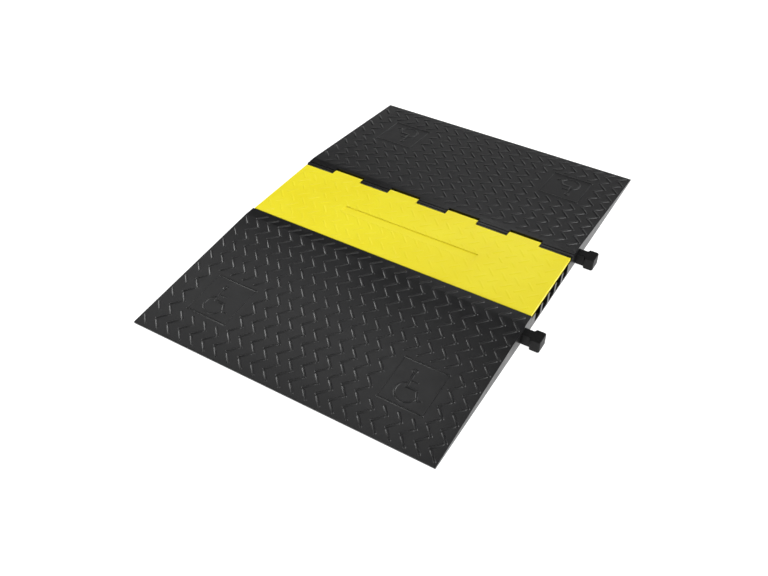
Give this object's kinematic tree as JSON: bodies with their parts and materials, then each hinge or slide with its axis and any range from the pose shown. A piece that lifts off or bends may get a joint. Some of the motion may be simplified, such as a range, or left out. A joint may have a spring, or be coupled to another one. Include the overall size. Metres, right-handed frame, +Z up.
{
  "type": "cable protector ramp",
  "caption": "Low wheelchair-accessible ramp over cable channels, with a hinged lid along the middle and T connectors for joining units end to end.",
  "frame": {"origin": "on the floor at the middle of the unit's length, on the centre line of the middle cable channel", "axes": "+X along the channels towards the end with the connectors, +Y across them towards the hinge side, +Z up"},
  "size_m": [0.9694, 1.344, 0.05],
  "materials": {
    "black_rubber": "satin moulded polyurethane",
    "yellow_rubber": "satin moulded polyurethane",
    "black_plastic": "matte",
    "rod_steel": "bright drawn",
    "screw_steel": "zinc plated",
    "insert_brass": "machined"
  },
  "bodies": {
    "base": {"channel_base": "black_rubber", "hinge_rod": "rod_steel", "hinge_plug_left": "black_plastic", "hinge_plug_right": "black_plastic", "ramp_near": "black_rubber", "ramp_far": "black_rubber", "connector_near": "black_rubber", "connector_far": "black_rubber", "link_near_left": "black_plastic", "link_near_middle": "black_plastic", "link_near_right": "black_plastic", "link_far_left": "black_plastic", "link_far_middle": "black_plastic", "link_far_right": "black_plastic", "link_screws_near": "screw_steel", "link_screws_far": "screw_steel", "link_inserts": "insert_brass", "connector_screws": "screw_steel", "connector_inserts": "insert_brass"},
    "lid": {"lid": "yellow_rubber"}
  },
  "joints": [
    {"name": "lid_hinge", "type": "hinge", "parent": "base", "child": "lid", "pos_m": [0, 0.151, 0.038], "axis": [-1, 0, 0], "range_deg": [0, 100]}
  ]
}
